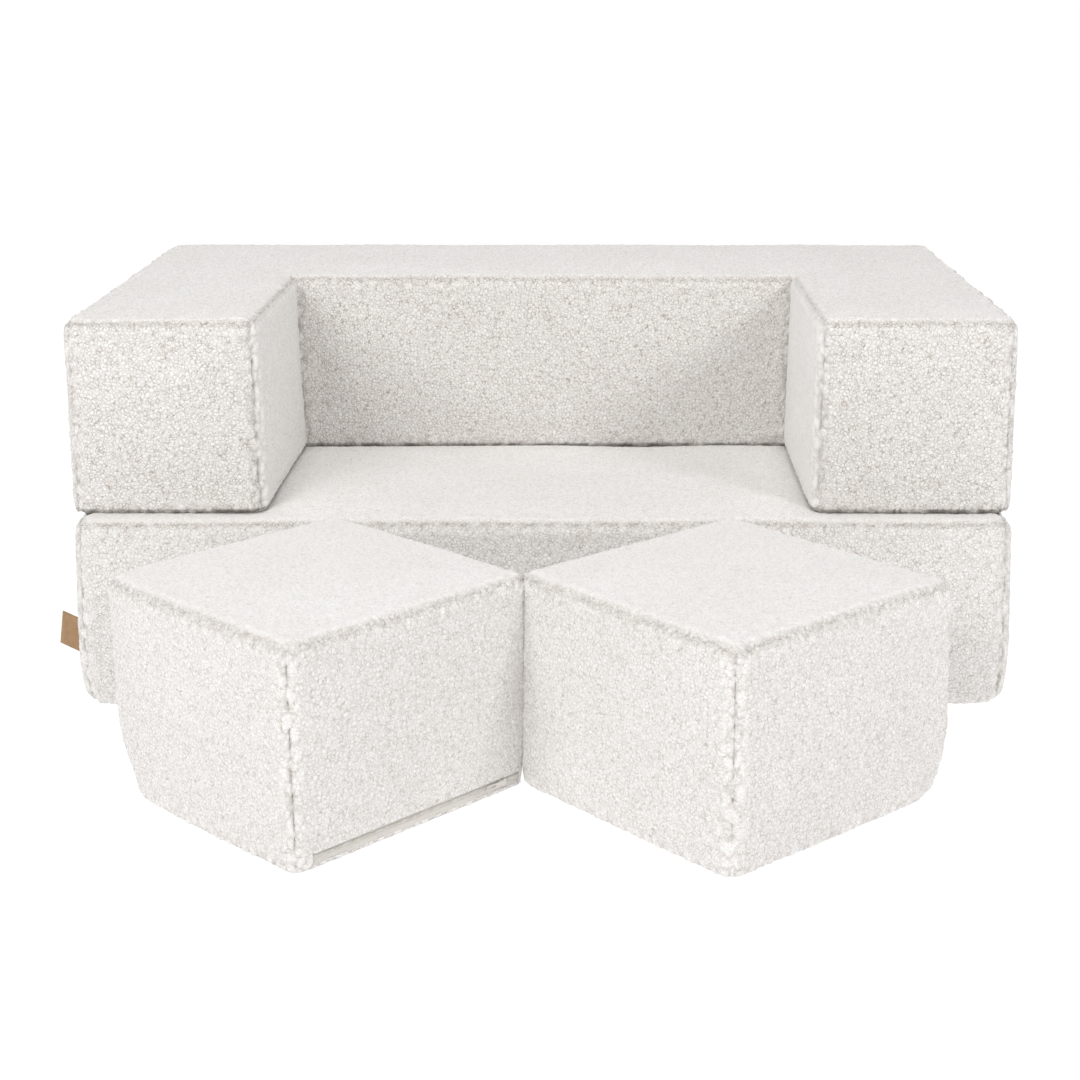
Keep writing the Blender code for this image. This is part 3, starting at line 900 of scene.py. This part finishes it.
def zip_chain(name, half_length):
    """Two rows of interlocked coil teeth on a narrow band."""
    teeth = []
    for side in (-1, 1):
        tooth = rod(TOOTH_RADIUS, TOOTH_LENGTH, (0.0, 0.0, 0.0), 6)
        slant = Matrix.Rotation(side * TOOTH_SLANT, 3, "Y")
        bmesh.ops.rotate(tooth, verts=tooth.verts[:], matrix=slant)
        shift = (side * TOOTH_PITCH / 4, TOOTH_RADIUS - TOOTH_STAND, side * TOOTH_REACH)
        translate(tooth, shift)
        teeth.append(tooth)
    row = joined(teeth)
    count = int((2 * half_length - TOOTH_PITCH) / TOOTH_PITCH)
    translate(row, (-(count - 1) * TOOTH_PITCH / 2, 0.0, 0.0))
    rows = object_from(name, row)
    array = rows.modifiers.new("Teeth", "ARRAY")
    array.count = count
    array.use_relative_offset = False
    array.use_constant_offset = True
    array.constant_offset_displace = (TOOTH_PITCH, 0.0, 0.0)
    apply_modifiers(rows)
    size = (2 * half_length - ZIP_CLEARANCE, BAND_DEPTH, 2 * CHAIN_HALF_HEIGHT)
    band = box(size, (0.0, BAND_DEPTH / 2, 0.0), BAND_RADIUS, 1)
    band.from_mesh(rows.data)
    band.to_mesh(rows.data)
    band.free()
    return rows


def edges_through(shape, thickness):
    """The edges that run through the thickness of a flat part."""
    spans = ((edge, edge.verts[0].co.y - edge.verts[1].co.y) for edge in shape.edges)
    return [edge for edge, span in spans if abs(span) > thickness / 2]


def zip_slider():
    """A plate with a rounded nose and turned flanges, and two ears that hold the pull's pin."""
    back = -ZIP_SLIDER_BACK
    thickness = SLIDER_PLATE[1]
    plate = box(SLIDER_PLATE, (0.0, back - thickness / 2, 0.0))
    for vertex in plate.verts:
        if vertex.co.x < 0:
            vertex.co.z *= SLIDER_NOSE_SHARE
    bevel_edges(plate, edges_through(plate, thickness), SLIDER_CORNER_RADIUS, 5)
    bevel_edges(plate, plate.edges[:], SLIDER_RIM_RADIUS, 2)
    parts = [plate]
    axis = back - ZIP_PULL_AXIS
    for side in (-1, 1):
        for size, depth, reach, radius, steps in (FLANGE, EAR_FOOT):
            parts.append(box(size, (0.0, back + depth, side * reach), radius, steps))
        parts.append(rod(*EAR, (0.0, axis, side * EAR_PLACE)))
    parts.append(rod(*PIN, (0.0, axis, 0.0), 12))
    slider = joined(parts)
    smooth_by_angle(slider, CRISP_ANGLE)
    return slider


def zip_pull():
    """A flat tab with a long opening, along -X from the barrel that turns on the pin."""
    axis = -ZIP_SLIDER_BACK - ZIP_PULL_AXIS
    tab = box(PULL_TAB, (PULL_TAB_MIDDLE, axis, 0.0))
    upright = edges_through(tab, PULL_TAB[1])
    far = [edge for edge in upright if edge.verts[0].co.x < PULL_FAR_END]
    bevel_edges(tab, far, PULL_CORNER_RADIUS, 6)
    whole = tab.verts[:] + tab.edges[:] + tab.faces[:]
    start = Vector((PULL_OPENING_START, 0.0, 0.0))
    bmesh.ops.bisect_plane(tab, geom=whole, plane_co=start, plane_no=(1.0, 0.0, 0.0))
    broad = [
        face
        for face in tab.faces
        if abs(face.normal.y) > 0.9 and face.calc_center_median().x < start.x
    ]
    bmesh.ops.inset_individual(tab, faces=broad, thickness=PULL_OPENING_RIM, use_even_offset=True)
    rims = [edge for face in broad for edge in face.edges]
    bmesh.ops.delete(tab, geom=broad, context="FACES_ONLY")
    bmesh.ops.bridge_loops(tab, edges=rims)
    sharp = [edge for edge in tab.edges if edge.is_manifold and edge.calc_face_angle(0.0) > 1.2]
    bevel_edges(tab, sharp, PULL_EDGE_RADIUS, 2)
    pull = joined([tab, rod(*BARREL, (0.0, axis, 0.0))])
    face_outwards(pull)
    smooth_by_angle(pull, CRISP_ANGLE)
    return pull


def leather_label():
    """A strip of leather that leaves the seam, bends back and lies flat beside the base."""
    label = bmesh.new()
    foot = label.verts.new((0.0, 0.0, -LABEL_HEIGHT / 2))
    head = label.verts.new((0.0, 0.0, LABEL_HEIGHT / 2))
    root = label.edges.new((foot, head))
    bmesh.ops.subdivide_edges(label, edges=[root], cuts=7)
    edge = label.verts[:] + label.edges[:]
    spot = Vector()
    for length, first, last, steps in LABEL_BENDS:
        radius = length / (first - last)
        centre = spot + radius * Vector((math.sin(first), -math.cos(first), 0.0))
        spun = bmesh.ops.spin(
            label, geom=edge, cent=centre, axis=(0.0, 0.0, 1.0), angle=last - first, steps=steps
        )
        edge = spun["geom_last"]
        spot = centre - radius * Vector((math.sin(last), -math.cos(last), 0.0))
    face_outwards(label)
    bmesh.ops.solidify(label, geom=label.faces[:], thickness=LABEL_THICKNESS)
    end = Vector((math.cos(last), math.sin(last), 0.0))
    for face in label.faces:
        if abs(face.normal.z) > 0.7 or face.normal.dot(end) > 0.7:
            face.material_index = 1
    corners = [edge for edge in label.edges if edge.is_manifold and edge.calc_face_angle() > 1.0]
    bevel_edges(label, corners, LABEL_EDGE_RADIUS, 3)
    smooth_by_angle(label, math.radians(50))
    bmesh.ops.rotate(label, verts=label.verts[:], matrix=Matrix.Rotation(LABEL_TILT, 3, "Y"))
    return label


# Materials


class Value:
    """A socket that takes part in sums: each sum adds its Math node."""

    def __init__(self, shader, socket):
        self.shader = shader
        self.socket = socket

    def math(self, operation, *others):
        return self.shader.add("ShaderNodeMath", {"operation": operation}, [self, *others])

    def __add__(self, other):
        return self.math("ADD", other)

    def __sub__(self, other):
        return self.math("SUBTRACT", other)

    def __rsub__(self, other):
        return self.math("MULTIPLY", -1.0).math("ADD", other)

    def __mul__(self, other):
        return self.math("MULTIPLY", other)

    __radd__ = __add__
    __rmul__ = __mul__

    def clamped(self):
        return self.math("MAXIMUM", 0.0).math("MINIMUM", 1.0)

    def ramp(self, low, high):
        """0 below low, 1 above high and smooth between them."""
        settings = {"interpolation_type": "SMOOTHSTEP"}
        values = {"Value": self, "From Min": low, "From Max": high}
        return self.shader.add("ShaderNodeMapRange", settings, values)


class Shader:
    """A material under construction."""

    def __init__(self, name, **constants):
        self.material = bpy.data.materials.new(name)
        self.material.use_nodes = True
        self.tree = self.material.node_tree
        self.principled = self.tree.nodes["Principled BSDF"]
        self.finish(**constants)

    def add(self, kind, settings, values, output=0):
        """Adds a node, makes its settings, then fills its sockets from values or links."""
        node = self.tree.nodes.new(kind)
        for name, value in settings.items():
            setattr(node, name, value)
        pairs = values.items() if isinstance(values, dict) else enumerate(values)
        for key, value in pairs:
            self.fill(node.inputs[key], value)
        return Value(self, node.outputs[output])

    def fill(self, socket, value):
        if isinstance(value, Value):
            self.tree.links.new(value.socket, socket)
        else:
            socket.default_value = value

    def coordinates(self):
        return self.add("ShaderNodeTexCoord", {}, {}, "Object")

    def attribute(self, name):
        return self.add("ShaderNodeAttribute", {"attribute_name": name}, {}, "Fac")

    def noise(self, place, size, detail=2.0, output="Fac"):
        values = {"Vector": place, "Scale": 1 / size, "Detail": detail}
        return self.add("ShaderNodeTexNoise", {"noise_dimensions": "3D"}, values, output)

    def cells(self, place, size, feature="F1"):
        values = {"Vector": place, "Scale": 1 / size}
        settings = {"voronoi_dimensions": "3D", "feature": feature}
        return self.add("ShaderNodeTexVoronoi", settings, values, "Distance")

    def shifted(self, place, size, amount):
        """The place moved about by noise of this size."""
        wander = self.noise(place, size, 2.0, "Color")
        centred = self.vector("SUBTRACT", wander, (0.5, 0.5, 0.5))
        return self.vector("ADD", place, self.vector("SCALE", centred, Scale=2 * amount))

    def vector(self, operation, *values, **named):
        sockets = dict(enumerate(values)) | named
        return self.add("ShaderNodeVectorMath", {"operation": operation}, sockets)

    def mix(self, share, first, second):
        settings = {"data_type": "RGBA"}
        values = {"Factor": share, 6: colour_of(first), 7: colour_of(second)}
        return self.add("ShaderNodeMix", settings, values, 2)

    def patches(self, noise, colours, low=0.35, high=0.7):
        """Two colours that pass into each other as the noise does."""
        return self.mix(noise.ramp(low, high), *colours)

    def bump(self, height, depth, strength, under=None):
        values = {"Height": height, "Distance": depth, "Strength": strength}
        if under is not None:
            values["Normal"] = under
        return self.add("ShaderNodeBump", {}, values)

    def finish(self, **values):
        for socket, value in values.items():
            self.fill(self.principled.inputs[socket.replace("_", " ")], value)
        return self.material


def colour_of(value):
    return (*value, 1.0) if isinstance(value, tuple) else value


# Colours: pairs for what varies from place to place
WOOL = ((0.91, 0.895, 0.88), (0.89, 0.872, 0.856))
# Painted shade between the curls
WOOL_GAP_SHADE = (0.36, 0.30, 0.25)
# Painted shade in the seams and where blocks touch
SEAM_SHADE_COLOUR = (0.13, 0.11, 0.09)
WOOL_FIBRE = (0.95, 0.94, 0.925)
FOAM = ((0.87, 0.82, 0.63), (0.80, 0.72, 0.50))
# Foam, then the painted shade in its pores
FOAM_PORE_SHADE = (0.52, 0.44, 0.28)
TAPE_CLOTH = ((0.60, 0.565, 0.52), (0.77, 0.745, 0.71))
TAPE_GRIME = (0.50, 0.46, 0.41)
STITCH = (0.78, 0.76, 0.72)
NYLON = ((0.66, 0.63, 0.585), (0.76, 0.74, 0.70))
NYLON_SPECK = (0.46, 0.43, 0.39)
ENAMEL = ((0.74, 0.72, 0.68), (0.68, 0.65, 0.60))
BARE_METAL = (0.52, 0.51, 0.49)
HIDE = ((0.42, 0.262, 0.138), (0.35, 0.21, 0.105))
HIDE_CREASE = (0.20, 0.105, 0.045)
BURNISH = ((0.22, 0.12, 0.055), (0.33, 0.19, 0.09))
RAW_FIBRE = (0.45, 0.29, 0.16)
FLOOR = ((0.11, 0.11, 0.11), (0.13, 0.13, 0.13))
WHITE = (1.0, 1.0, 1.0)

# The tapes' weave
TWILL_PITCH = 0.00075
THREAD_PITCH = 0.0005
STITCH_PITCH = 0.0026
STITCH_ROW = 0.0027


def boucle_material():
    """Off-white wool loops with painted shade, darker and warmer, in the gaps between the curls, in
    the seams and where blocks touch.
    """
    shader = Shader("boucle", Sheen_Weight=0.15, Sheen_Roughness=0.6, Specular_IOR_Level=0.15)
    place = shader.shifted(shader.coordinates(), 0.0030, 0.0014)
    crevice = shader.attribute("crevice")
    seam_line = shader.attribute("seam_line")
    nap = shader.attribute("nap")
    curl_edge = shader.cells(place, 0.0039, "DISTANCE_TO_EDGE")
    curl_gap = 1 - curl_edge.ramp(0.0, 0.15)
    open_places = shader.noise(place, 0.0055).ramp(0.42, 0.68)
    loop_edge = shader.cells(place, 0.0021, "DISTANCE_TO_EDGE")
    loop_gap = (1 - loop_edge.ramp(0.0, 0.20)) * shader.noise(place, 0.0042).ramp(0.46, 0.64)
    fibres = shader.noise(place, 0.0011, 4.0)
    # Painted shade between the curls: from the cells here and the stored curl and rim shade, scaled
    # by the nap
    gap = curl_gap * (0.42 + 0.40 * open_places) + loop_gap * 0.30
    gap = (crevice * 0.52 + nap * gap).clamped()
    tone = shader.noise(shader.coordinates(), 0.11, 3.0)
    shade = shader.mix(gap, shader.patches(tone, WOOL, 0.35, 0.65), WOOL_GAP_SHADE)
    # Painted shade in the seams and where blocks touch
    shade = shader.mix(seam_line * 0.9, shade, SEAM_SHADE_COLOUR)
    colour = shader.mix(fibres.ramp(0.3, 0.75) * 0.10, shade, WOOL_FIBRE)
    loops = curl_edge.ramp(0.0, 0.42) * 0.7 + loop_edge.ramp(0.0, 0.45) * 0.3
    relief = shader.bump(loops * (0.3 + 0.7 * nap), 0.0013, 0.9)
    relief = shader.bump(fibres, 0.0004, 0.5, relief)
    return shader.finish(Base_Color=colour, Roughness=0.93 + 0.06 * fibres, Normal=relief)


def foam_material():
    """Pale foam with open pores, slightly yellowed, and painted shade in the pores."""
    shader = Shader("foam", Specular_IOR_Level=0.2)
    place = shader.coordinates()
    pores = shader.cells(place, 0.0014)
    big_pores = shader.cells(place, 0.0045)
    # Painted shade in the small and large pores
    hollow = (1 - pores.ramp(0.1, 0.5)) * 0.5 + (1 - big_pores.ramp(0.05, 0.22)) * 0.5
    yellowing = shader.noise(place, 0.09, 3.0)
    colour = shader.mix(hollow.clamped(), shader.patches(yellowing, FOAM), FOAM_PORE_SHADE)
    relief = shader.bump(1 - hollow, 0.0006, 0.8)
    return shader.finish(Base_Color=colour, Roughness=0.85 + 0.1 * yellowing, Normal=relief)


def zip_tape_material():
    """Beige woven tape with a twill rib and a row of stitches beside the chain."""
    shader = Shader("zip_tape", Specular_IOR_Level=0.25, Sheen_Weight=0.1)
    weave = shader.add("ShaderNodeUVMap", {"uv_map": "weave"}, {}, "UV")
    along = shader.add("ShaderNodeSeparateXYZ", {}, [weave], "X")
    across = shader.add("ShaderNodeSeparateXYZ", {}, [weave], "Y").math("ABSOLUTE")
    twill = ((along + across) * (2 * math.pi / TWILL_PITCH)).math("SINE")
    threads = (across * (2 * math.pi / THREAD_PITCH)).math("SINE")
    rib = (twill * 0.35 + threads * 0.15 + 0.5).clamped()
    stitch_row = 1 - (across - STITCH_ROW).math("ABSOLUTE").ramp(0.00018, 0.00032)
    stitches = stitch_row * (along * (1 / STITCH_PITCH)).math("FRACT").ramp(0.06, 0.20)
    grime = shader.noise(shader.coordinates(), 0.012, 3.0)
    cloth = shader.mix(grime.ramp(0.45, 0.8) * 0.35, shader.mix(rib, *TAPE_CLOTH), TAPE_GRIME)
    colour = shader.mix(stitches, cloth, STITCH)
    relief = shader.bump(rib * 0.5 + stitches, 0.00022, 0.8)
    return shader.finish(Base_Color=colour, Roughness=0.75 + 0.15 * grime, Normal=relief)


def zip_chain_material():
    """Matt nylon teeth, a little shinier where the slider rubs them."""
    shader = Shader("zip_chain", Specular_IOR_Level=0.45)
    place = shader.coordinates()
    rubbed = shader.noise(place, 0.006, 3.0)
    speck = shader.noise(place, 0.0005, 2.0)
    colour = shader.mix(speck.ramp(0.5, 0.8) * 0.3, shader.patches(rubbed, NYLON), NYLON_SPECK)
    relief = shader.bump(speck, 0.00006, 0.6)
    return shader.finish(Base_Color=colour, Roughness=0.52 - 0.18 * rubbed, Normal=relief)


def zip_metal_material():
    """Off-white enamel on zinc, chipped here and there down to the metal."""
    shader = Shader("zip_metal", Specular_IOR_Level=0.5)
    place = shader.coordinates()
    chips = shader.noise(place, 0.0016, 5.0).ramp(0.66, 0.70)
    worn = shader.noise(place, 0.004, 3.0)
    colour = shader.mix(chips, shader.patches(worn, ENAMEL), BARE_METAL)
    rough = 0.34 + 0.14 * worn + 0.1 * chips
    relief = shader.bump(1 - chips, 0.00005, 0.7)
    return shader.finish(Base_Color=colour, Metallic=chips, Roughness=rough, Normal=relief)


def leather_material():
    """Tan leather with a fine pebbled grain, darker in its creases."""
    shader = Shader("leather", Specular_IOR_Level=0.4)
    place = shader.coordinates()
    warped = shader.shifted(place, 0.0009, 0.0003)
    grain = shader.cells(warped, 0.0009, "DISTANCE_TO_EDGE").ramp(0.0, 0.22)
    pores = shader.noise(place, 0.0004, 3.0)
    patches = shader.noise(place, 0.009, 4.0)
    creases = (1 - grain) * 0.45 + pores.ramp(0.6, 0.8) * 0.15
    colour = shader.mix(creases, shader.patches(patches, HIDE, 0.3), HIDE_CREASE)
    relief = shader.bump(grain, 0.00012, 0.7)
    relief = shader.bump(pores, 0.00006, 0.5, relief)
    return shader.finish(Base_Color=colour, Roughness=0.50 + 0.16 * patches, Normal=relief)


def leather_edge_material():
    """The label's cut edge: raw fibres, darkened by burnishing."""
    shader = Shader("leather_edge", Specular_IOR_Level=0.35)
    place = shader.coordinates()
    fibres = shader.noise(shader.vector("MULTIPLY", place, (1.0, 1.0, 0.4)), 0.0003, 3.0)
    core = shader.patches(shader.noise(place, 0.003, 2.0), BURNISH)
    colour = shader.mix(fibres.ramp(0.45, 0.75) * 0.5, core, RAW_FIBRE)
    relief = shader.bump(fibres, 0.00010, 0.6)
    return shader.finish(Base_Color=colour, Roughness=0.62 + 0.2 * fibres, Normal=relief)


def floor_material():
    """A near-white floor that shines by itself and still takes soft shades."""
    shader = Shader("floor", Roughness=0.9, Specular_IOR_Level=0.0, Emission_Strength=0.96)
    tone = shader.noise(shader.coordinates(), 0.5)
    return shader.finish(Base_Color=shader.mix(tone, *FLOOR), Emission_Color=(*WHITE, 1.0))


# Studio

CAMERA_PLACE = (0.047, -2.264, 0.771)
CAMERA_DOWN = math.radians(16.668)
CAMERA_LENS = 64.0
CAMERA_SENSOR = 36.0
IMAGE_SIDE = 1080
IMAGE_CENTRE_COLUMN = 587.04
SIDE_BRIGHTNESS = 0.92
OVERHEAD_BRIGHTNESS = 0.15
HORIZON_HEIGHT = 0.15
LAMP_AIM = (0.0, 0.0, 0.2)
LAMPS = {
    "front lamp": ((-1.5, -2.9, 2.5), 1.0, 34),
    "left lamp": ((-2.8, -2.8, 2.4), 1.0, 30),
    "right lamp": ((2.8, -2.8, 2.4), 1.0, 46),
    "overhead lamp": ((0.0, 0.1, 4.0), 2.0, 38),
}
FLOOR_RADIUS = 70.0
FLOOR_BELOW = 0.0004


def add_camera():
    data = bpy.data.cameras.new("photograph")
    data.lens = CAMERA_LENS
    data.sensor_width = CAMERA_SENSOR
    data.shift_x = (IMAGE_SIDE / 2 - IMAGE_CENTRE_COLUMN) / IMAGE_SIDE
    camera = bpy.data.objects.new("photograph", data)
    camera.location = CAMERA_PLACE
    camera.rotation_euler = (math.pi / 2 - CAMERA_DOWN, 0.0, 0.0)
    bpy.context.scene.collection.objects.link(camera)
    bpy.context.scene.camera = camera


def add_lamp(name, place, side, power):
    data = bpy.data.lights.new(name, "AREA")
    data.shape = "RECTANGLE"
    data.size = data.size_y = side
    data.energy = power
    lamp = bpy.data.objects.new(name, data)
    lamp.location = place
    direction = Vector(LAMP_AIM) - Vector(place)
    lamp.rotation_euler = direction.to_track_quat("-Z", "Y").to_euler()
    bpy.context.scene.collection.objects.link(lamp)


def add_floor():
    shape = bmesh.new()
    bmesh.ops.create_circle(shape, cap_ends=True, segments=64, radius=FLOOR_RADIUS)
    translate(shape, (0.0, 0.0, -FLOOR_BELOW))
    floor = object_from("floor", shape)
    floor.data.materials.append(floor_material())
    floor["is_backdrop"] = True


def light_studio():
    """A pale room, one lamp in front, one on each side and a larger one overhead."""
    world = bpy.data.worlds.new("studio")
    world.use_nodes = True
    nodes, links = world.node_tree.nodes, world.node_tree.links
    direction = nodes.new("ShaderNodeTexCoord")
    parts = nodes.new("ShaderNodeSeparateXYZ")
    fall = nodes.new("ShaderNodeMapRange")
    ends = {"From": (HORIZON_HEIGHT, 1.0), "To": (SIDE_BRIGHTNESS, OVERHEAD_BRIGHTNESS)}
    for name, (low, high) in ends.items():
        fall.inputs[f"{name} Min"].default_value = low
        fall.inputs[f"{name} Max"].default_value = high
    links.new(direction.outputs["Generated"], parts.inputs["Vector"])
    links.new(parts.outputs["Z"], fall.inputs["Value"])
    links.new(fall.outputs["Result"], nodes["Background"].inputs["Strength"])
    nodes["Background"].inputs["Color"].default_value = (*WHITE, 1.0)
    bpy.context.scene.world = world
    bpy.context.scene.view_settings.view_transform = "Standard"
    for name, values in LAMPS.items():
        add_lamp(name, *values)


def add_piece(piece, node, body, slot, *materials):
    """Hands a finished piece to the frame in place of its CAD node."""
    for material in materials:
        piece.data.materials.append(material)
    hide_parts(node)
    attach(piece, body)


def add_cover(block, load, seed, boucle):
    skin = even_skin(f"{block.name}_cover", block, GRAINS[block.name])
    dress(skin, block, load, seed)
    pieces = split_panels(skin, block)
    for index, name in enumerate(block.panels):
        piece = pieces[index]
        piece.name = f"{block.name}_{name}_cover"
        piece.data.name = piece.name
        if index == block.zip_wall:
            cut_zip_slot(piece, block)
        turn_in_seams(piece)
        piece.data.transform(block.to_world())
        add_piece(piece, f"{block.name}_{name}", block.name, "boucle", boucle)


def add_foam(block, foam):
    piece = foam_piece(block)
    piece.data.transform(block.to_world())
    add_piece(piece, f"{block.name}_foam_core", block.name, "foam", foam)


def add_zip(block, tape, chain, metal):
    place, half_wall = zip_place(block)
    place = block.to_world() @ place
    along = half_wall - ZIP_END_MARGIN - ZIP_SLIDER_MARGIN
    at_slider = place @ Matrix.Translation((along, 0.0, 0.0))
    half_length = half_wall - TAPE_END_MARGIN
    name = f"{block.name}_zip"
    for side, half in ((1, "upper"), (-1, "lower")):
        piece = object_from(f"{name}_{half}_woven_tape", zip_tape(half_length, side))
        piece.data.transform(place)
        add_piece(piece, f"{name}_{half}_tape", block.name, "zip_tape", tape)
    piece = zip_chain(f"{name}_teeth", half_length)
    piece.data.transform(place)
    add_piece(piece, f"{name}_chain", block.name, "zip_chain", chain)
    for part, shape in (("slider", zip_slider()), ("pull", zip_pull())):
        piece = object_from(f"{name}_metal_{part}", shape)
        piece.data.transform(at_slider)
        add_piece(piece, f"{name}_{part}", f"{name}_{part}", "zip_metal", metal)


def add_label(base):
    piece = object_from("plain_leather_label", leather_label())
    corner = Vector(base.outline[0]) + Vector(LABEL_START)
    piece.data.transform(base.to_world() @ Matrix.Translation((*corner, LABEL_CENTRE_HEIGHT)))
    materials = (leather_material(), leather_edge_material())
    add_piece(piece, "leather_label", "base", "leather", *materials)


def main():
    add_camera()
    backrest = backrest_block()
    base = base_block(backrest)
    boucle = boucle_material()
    foam = foam_material()
    zip_materials = (zip_tape_material(), zip_chain_material(), zip_metal_material())
    blocks = (base, backrest, pouf_block("left_pouf"), pouf_block("right_pouf"))
    for seed, block in enumerate(blocks):
        add_cover(block, backrest if block is base else None, 10 * seed, boucle)
        add_foam(block, foam)
        add_zip(block, *zip_materials)
    add_label(base)
    add_floor()
    light_studio()


main()
sizes = {"cad": cad_box, "visual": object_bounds()}
sizes = {name: [list(corner) for corner in box] for name, box in sizes.items()}
